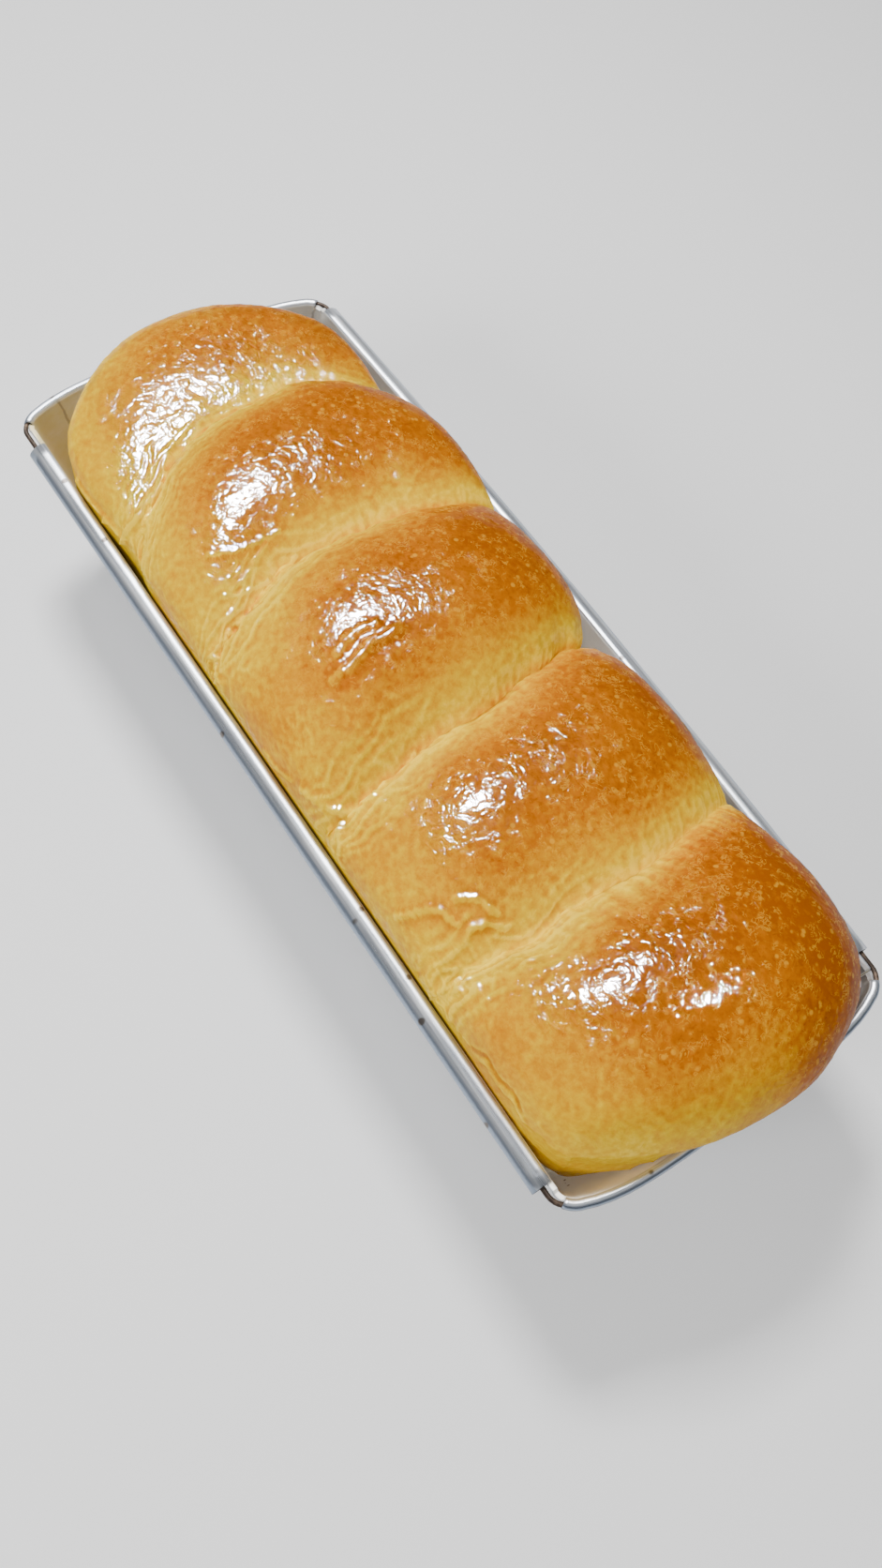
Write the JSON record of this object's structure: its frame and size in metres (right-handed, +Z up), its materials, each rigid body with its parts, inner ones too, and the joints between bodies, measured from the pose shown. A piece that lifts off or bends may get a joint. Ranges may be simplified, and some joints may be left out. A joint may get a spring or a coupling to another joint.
{
  "type": "tin loaf",
  "caption": "Long glossy milk loaf risen in round folds side by side, baked in its own open folded sheet-metal tin with rolled long rims and a wire in the rim.",
  "frame": {"origin": "middle of the tin's flat underside", "axes": "+X along the tin, towards the end that is nearest in the picture; +Y across it, towards the picture's right; +Z up"},
  "size_m": [0.3427, 0.133, 0.111],
  "materials": {
    "crust": "egg-washed crust, golden brown on the crowns and pale yellow in the folds, glossy",
    "tin_sheet": "satin aluminium sheet with lengthwise streaks and small marks",
    "rim_wire": "dark baked-on brown wire"
  },
  "bodies": {
    "root": {"loaf": "crust", "tin": "tin_sheet", "rim_wire": "rim_wire"}
  },
  "joints": []
}
